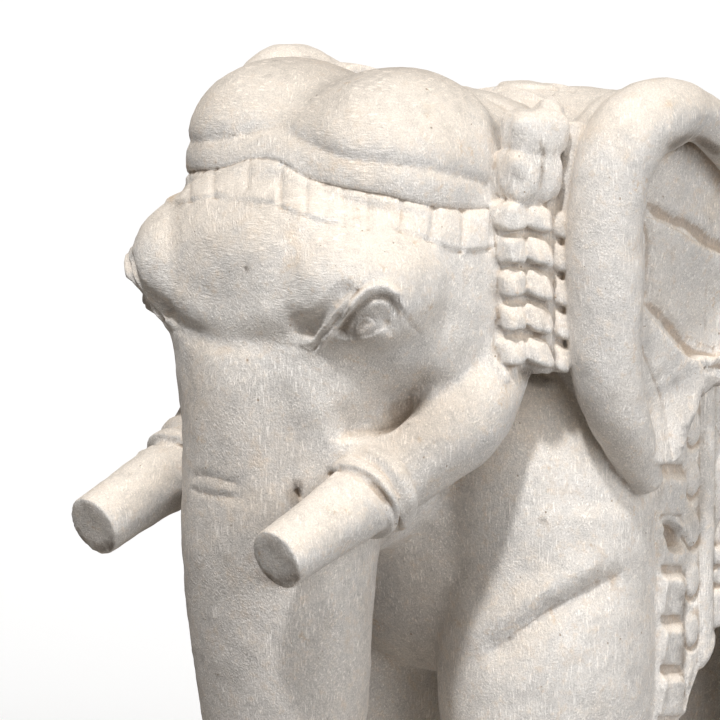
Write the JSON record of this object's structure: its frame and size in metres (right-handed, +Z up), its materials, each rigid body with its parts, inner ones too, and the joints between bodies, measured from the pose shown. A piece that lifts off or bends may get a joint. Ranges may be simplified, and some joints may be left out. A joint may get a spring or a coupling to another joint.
{
  "type": "carved stone elephant figure",
  "caption": "Standing elephant carved from one block of marble on a low base, with raised headband, bead garlands, rolled ears, sawn tusk stubs and a bordered saddle cloth.",
  "frame": {"origin": "middle of the underside of the base, on the surface that it stands on", "axes": "+Z up, the elephant faces -Y, its left side is +X"},
  "size_m": [0.2514, 0.436, 0.3995],
  "materials": {
    "marble": "unpolished carved marble with fine rasp marks"
  },
  "bodies": {
    "root": {"elephant_carving": "marble"}
  },
  "joints": []
}
